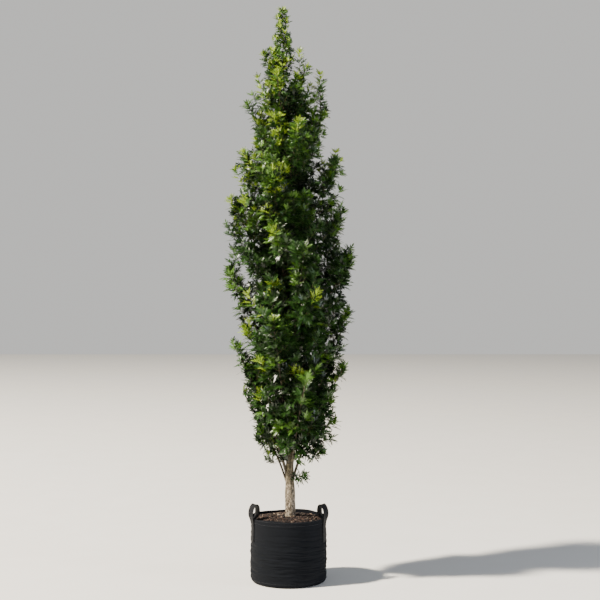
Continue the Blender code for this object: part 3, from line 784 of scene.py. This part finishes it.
deep, mid, light, new_growth = range(4)  # the leaves' tints
rosette = 6
stalk_share = 0.19  # a leaf's stalk in parts of its blade, with its foot sunk into the shoot
last_shoot = 0.965  # the share of a plume's line where its topmost shoot leaves it
tip_share = 0.185  # the last part of the line, which carries leaves of its own
trim = 0.012  # a shoot is cut back by this until it keeps to its part of the crown
draw = random.Random(23)
leaves = {plume.group: [[], [], []] for plume in plumes}  # places, patterns, tints
twigs = {group: [] for group in leaves}  # (points, radii)


def add_leaf(plume, root, ahead, face, length, tint, reach):
    """A leaf, unless it would stand out of the reach. Without a reach it always stays."""
    tip = root + ahead * length * 1.2  # the stalk and the blade
    furthest = 1.06 if reach is body_reach else 1.12
    if reach is None or (within(tip, reach, furthest) and skirt_height(tip) < tip.z < 3.455):
        places, kinds, tints = leaves[plume.group]
        places.append(standing(root + ahead * length * stalk_share, ahead, face) @ Matrix.Scale(length, 4))
        kinds.append(4 if tint == new_growth and draw.random() < 0.6 else draw.randrange(4))
        tints.append(tint)


def clothe(plume, line, length, gap, size, tints, reach):
    """Leaves in a golden spiral along a shoot's line, and a rosette at its tip.

    The tints are its foot's and its tip's.
    """
    turn = draw.uniform(0, math.tau)
    count = max(2, round(length / gap))
    for k in range(count + rosette):
        at_tip = k >= count
        t = 0.97 if at_tip else 0.10 + 0.84 * (k + draw.uniform(0, 0.7)) / count
        root, ahead = line(t), (line(t + 0.03) - line(t - 0.03)).normalized()
        side_way = ahead.orthogonal().normalized()
        turn += golden
        around = side_way * math.cos(turn) + ahead.cross(side_way) * math.sin(turn)
        angle = 0.25 + 0.85 * (k - count) / rosette if at_tip else 1.25 - 0.55 * t
        angle += draw.uniform(-0.12, 0.18)
        way = ahead * math.cos(angle) + around * math.sin(angle)
        way.z -= (0.40 if root.z < 1.3 else 0.20) * draw.random() * (1 - t)
        upward = Vector((draw.uniform(-0.6, 0.6), draw.uniform(-0.6, 0.6), 0.5))
        face = ahead * 0.8 + upward + plume.outward * 0.4
        tint = tints[1] if at_tip or t > 0.72 else tints[0]
        if tint == new_growth and not at_tip and draw.random() < 0.4:
            tint = light
        scale = draw.uniform(0.80, 1.12) * (0.86 if at_tip else 1.0) * (0.88 if tint == new_growth else 1.0)
        add_leaf(plume, root, way.normalized(), face, size * scale, tint, reach)


def spray_tints(tip):
    """A spray's greens at its foot and its tip. Most new growth is at the top, and the left side, toward the
    key light, is given more of it and the right side less, as painted light and shade.
    """
    outer = (tip - crown_centre(tip.z)).length / max(0.05, crown_reach(tip.z))
    if outer < 0.50 and tip.z < 3.0:
        return (deep, draw.choices((deep, mid), (75, 25))[0])
    high = min(1.0, max(0.0, (tip.z - 1.2) / 1.9))
    foot = draw.choices((deep, mid), (62 - 25 * high, 38 + 10 * high))[0]
    # Painted light and shade: tips on the left, where the key light falls, turn yellow-green more often than
    # those on the right, which turn less often.
    if draw.random() < (0.05 + 0.62 * high**2.0) * (1.25 if tip.x < -0.02 else 0.75):
        return (foot + 1, new_growth)
    return (foot, draw.choices((deep, mid, light), (30 - 20 * high, 45, 25 + 10 * high))[0])


def add_shoot(plume, k, rel):
    """The plume's shoot number k, at this share of its leafy part. It curves up and carries twigs."""
    share = plume.leafy + (last_shoot - plume.leafy) * rel
    foot, along = plume.at(share), plume.heading(share)
    side_way = along.cross(plume.outward).normalized()
    # The shoots go round the plume's outer side, and come closer to its line at the tip.
    fan = math.radians(150)
    turn = (k * golden + draw.uniform(0, 0.5)) % (2 * fan) - fan
    around = side_way.cross(along) * math.cos(turn) + side_way * math.sin(turn)
    lean = math.radians(88 - 56 * rel + draw.uniform(-12, 12))
    way = along * math.cos(lean) + around * math.sin(lean)
    long_one = draw.random() < (0.12 if foot.z < 2.1 else 0.20) and plume.side != "top"
    reach = spike_reach if long_one else body_reach
    most = draw.uniform(0.88, 1.02) if long_one else draw.uniform(0.78, 0.92)
    length = draw.uniform(0.18, 0.32) * (1.25 if long_one else 1 - 0.55 * rel)
    lift = Vector((0, 0, draw.uniform(0.35, 0.80) if plume.tier or rel > 0.4 else draw.uniform(-0.05, 0.30)))
    lift.z += 0.35 * min(1.0, max(0.0, (foot.z - 1.6) / 1.2)) + (0.2 if long_one else 0)

    def shoot_at(t):
        return foot + (way * t + lift * t**2) * length

    while length > 0.035 and not all(keeps_to(plume, shoot_at(t), reach, most) for t in (1, 0.6)):
        length -= trim
    span = length * (way + lift).length
    thick = 0.0009 + 0.0065 * length
    stations = (0, 0.25, 0.5, 0.75, 1)
    twigs[plume.group].append(([shoot_at(t) for t in stations], [thick * (1 - 0.75 * t) for t in stations]))
    size = float(np.interp(foot.z, [0.7, 1.6, 2.6, 3.3], [0.064, 0.056, 0.044, 0.042]))
    size *= 1.08 if long_one else 1
    tints = spray_tints(shoot_at(1))
    gap = (0.18 if long_one else 0.17 if plume.side == "top" else 0.19) * size
    clothe(plume, shoot_at, span, gap, size, tints, reach)
    # Twigs along the shoot, in turn round it. A long shoot carries them on its lower half only.
    steps = round(span / 0.046)
    for j in range(steps):
        t = (j + 0.7) / (steps + 0.3) * (0.5 if long_one else 0.92)
        base = shoot_at(t)
        ahead = (shoot_at(t + 0.05) - base).normalized()
        across = ahead.orthogonal().normalized()
        turn = j * golden + k
        out = across * math.cos(turn) + ahead.cross(across) * math.sin(turn)
        twig_way = (ahead * 0.8 + out + Vector((0, 0, 0.25))).normalized()
        twig_length = draw.uniform(0.045, 0.095) * (1 - 0.4 * t)
        while twig_length > 0.018 and not keeps_to(plume, base + twig_way * twig_length, reach, most):
            twig_length -= trim

        def twig_at(part):
            return base + (twig_way + Vector((0, 0, 0.3 * part))) * part * twig_length

        twigs[plume.group].append(([base, twig_at(0.5), twig_at(1)], [thick * 0.55, thick * 0.4, 0.0007]))
        twig_tip = tints[1] if t > 0.45 or tints[1] < new_growth else draw.randrange(3)
        clothe(plume, twig_at, twig_length, 0.24 * size, size * 0.95, (tints[0], twig_tip), reach)


def add_tip(plume):
    """The leaves along the last part of the plume's own line, yellowed on many of the high plumes."""

    def tip_at(t):
        return plume.at(0.80 + tip_share * t)

    size = float(np.interp(plume.tip.z, [1.6, 2.6, 3.3], [0.056, 0.046, 0.051]))
    yellowed = draw.random() < np.interp(plume.tip.z, [1.5, 2.2, 2.8], [0.03, 0.28, 0.8])
    tints = (light, new_growth) if yellowed else (mid, light)
    reach = spike_reach if plume.tip.z < 1.8 else None
    clothe(plume, tip_at, plume.rise * tip_share, 0.006, size, tints, reach)


for plume in plumes:
    spacing = 0.019 if plume.side == "top" else 0.030 if plume.tier else 0.025
    count = round(plume.rise * (last_shoot - plume.leafy) / spacing)
    for k in range(count + 1):
        add_shoot(plume, k, k / count)
    add_tip(plume)
    if plume.node == "right_1":
        # A lone leafy twig low on this bough.
        base = plume.at(0.08)

        def low_twig_at(t):
            return base + Vector((0.065 * t, -0.060 * t, 0.060 * t - 0.022 * t**2))

        twigs[plume.group].append(([low_twig_at(t) for t in (0, 0.5, 1)], [0.0024, 0.0017, 0.0008]))
        clothe(plume, low_twig_at, 0.11, 0.005, 0.046, (mid, mid), None)
    if plume.side == "top":
        twigs["top"].append(([plume.at(0.62), plume.at(0.8), plume.at(0.985)], [0.0032, 0.0024, 0.0012]))

# Stray sprays on the right that stand out past the rest: their plume, the share of its line where each
# leaves it, how far each reaches, its leaves' size and its tints. Three droop low on the skirt, and the
# others make two small spires beside the top.
strays = [
    ("right_1", 0.30, (0.105, -0.060, 0.010), 0.058, (deep, mid)),
    ("right_1", 0.36, (0.150, -0.030, 0.045), 0.060, (mid, mid)),
    ("right_1", 0.42, (0.155, 0.030, 0.085), 0.060, (deep, light)),
    ("right_6", 0.93, (-0.010, -0.020, 0.270), 0.048, (mid, new_growth)),
    ("right_6", 0.90, (0.004, 0.010, 0.200), 0.046, (mid, light)),
    ("right_7", 0.78, (-0.004, -0.020, 0.185), 0.046, (mid, new_growth)),
]
for node, share, stray_span, size, tints in strays:
    plume = next(plume for plume in plumes if plume.node == node)
    base, stray_way = plume.at(share), Vector(stray_span)

    def stray_at(t):
        return base + stray_way * t + Vector((0, 0, 0.020 * t * (t - 1)))

    twigs[plume.group].append(([stray_at(t) for t in (0, 0.5, 1)], [0.0026, 0.0019, 0.0009]))
    clothe(plume, stray_at, stray_way.length, 0.007, size, tints, None)

# Oak leaf blades: leathery, with a waxy upper skin that gives a broken gloss, and veins and blisters every
# 4 mm. Four greens from old to new growth, in the order of the tints.
leaf_tones = [("deep", "#15280e", 0.34), ("mid", "#274517", 0.34), ("light", "#46691f", 0.36)]
leaf_tones += [("new_growth", "#849f28", 0.42)]
veins = {"Scale": 240, "Detail": 2}
blisters = {"Strength": 0.35, "Distance": 0.0008}
wax = {"IOR": 1.52, "Specular IOR Level": 0.5}
leaf_finishes = []
for name, colour, roughness in leaf_tones:
    leaf_finishes.append(grained_finish("oak_leaf_" + name, colour, roughness, veins, blisters, wax))

# Shoots of this year and last: thin green-brown bark with a dull shine.
shoot_bark = new_finish("oak_shoot_bark")
spot = add_node(shoot_bark, "TexCoord").outputs["Object"]
pores = add_node(shoot_bark, "TexNoise", {"Vector": spot, "Scale": 300, "Detail": 2})
shade = add_node(shoot_bark, "ValToRGB", {"Fac": pores}, ((0.40, "#3a3620"), (0.62, "#7c7648")))
shader = add_node(shoot_bark, "BsdfPrincipled", {"Base Color": shade, "Roughness": 0.55})
add_node(shoot_bark, "OutputMaterial", {"Surface": shader})


def twig_mesh(name, lines, sides):
    """Every twig as a thin tapering tube, in one mesh."""
    points, faces = [], []
    for line, radii in lines:
        first = len(points)
        for i, (centre, radius) in enumerate(zip(line, radii)):
            ahead = (line[min(i + 1, len(line) - 1)] - line[max(i - 1, 0)]).normalized()
            side_way = ahead.orthogonal().normalized()
            front_way = ahead.cross(side_way)
            for s in range(sides):
                turn = s * math.tau / sides
                points.append(centre + (side_way * math.cos(turn) + front_way * math.sin(turn)) * radius)
        for i in range(len(line) - 1):
            for s in range(sides):
                a, b = first + i * sides + s, first + i * sides + (s + 1) % sides
                faces.append((a, b, b + sides, a + sides))
        faces.append(tuple(range(first, first + sides))[::-1])
        faces.append(tuple(range(len(points) - sides, len(points))))
    mesh = bpy.data.meshes.new(name)
    mesh.from_pydata(points, [], faces)
    mesh.shade_smooth()
    mesh.materials.append(shoot_bark)
    piece = bpy.data.objects.new(name, mesh)
    bpy.context.scene.collection.objects.link(piece)
    return piece


for group in leaves:
    nodes = ["foliage_" + plume.node for plume in plumes if plume.group == group]
    foliage = copied("leaves_" + group, leaf_patterns, *leaves[group][:2], leaf_finishes, leaves[group][2])
    for piece, slot in ((foliage, "leaves"), (twig_mesh("shoots_" + group, twigs[group], 4), "bark")):
        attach(piece, "root")
        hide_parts(*nodes)

# ---- Studio
# A pale floor and a pale surround, one wide key light far off to the upper left in front, and a weak fill
# from the right.

bpy.ops.mesh.primitive_plane_add(size=60)
floor = bpy.context.object
floor.name = "studio_floor"
# Matt floor paper: warm white and a little uneven.
paper = new_finish("matt_studio_floor")
spot = add_node(paper, "TexCoord").outputs["Object"]
grain = add_node(paper, "TexNoise", {"Vector": spot, "Scale": 3, "Detail": 2})
tone = add_node(paper, "ValToRGB", {"Fac": grain}, ((0, "#efeeea"), (1, "#f6f5f2")))
shader = add_node(paper, "BsdfPrincipled", {"Base Color": tone, "Roughness": 0.9})
add_node(paper, "OutputMaterial", {"Surface": shader})
floor.data.materials.append(paper)

world = bpy.data.worlds.new("studio")
world.use_nodes = True
world.node_tree.nodes.clear()
# The surround lights the tree weakly, and shows as pale as the far floor.
glow = add_node(world, "Background", {"Color": linear("#e9edf2"), "Strength": 0.29})
shown = add_node(world, "Background", {"Color": linear("#e4e3e0"), "Strength": 0.85})
seen = add_node(world, "LightPath").outputs["Is Camera Ray"]
either = add_node(world, "MixShader", {"Fac": seen, 1: glow, 2: shown})
add_node(world, "OutputWorld", {"Surface": either})
bpy.context.scene.world = world


def soft_light(name, place, target, size, power, colour):
    lamp = bpy.data.lights.new(name, "AREA")
    lamp.shape = "DISK"
    lamp.size = size
    lamp.energy = power
    lamp.color = linear(colour)[:3]
    holder = bpy.data.objects.new(name, lamp)
    holder.location = place
    holder.rotation_euler = (Vector(target) - Vector(place)).to_track_quat("-Z", "Y").to_euler()
    bpy.context.scene.collection.objects.link(holder)


soft_light("key", (-20.6, -7.4, 22.4), (0, 0, 1.6), 2.4, 34000, "#fff4e2")
soft_light("fill", (6.4, -2.8, 2.2), (0, 0, 1.4), 3.5, 230, "#e8f0ff")

# A level camera, 1.69 m up and 7.2 m away, with a view 28 degrees wide.
camera = bpy.data.objects.new("camera", bpy.data.cameras.new("camera"))
bpy.context.scene.collection.objects.link(camera)
camera.location = (0.069, -7.2, 1.69)
camera.rotation_euler = (math.pi / 2, 0, 0)
camera.data.sensor_width = 36
camera.data.lens = 71.64
camera.data.clip_end = 100
bpy.context.scene.camera = camera
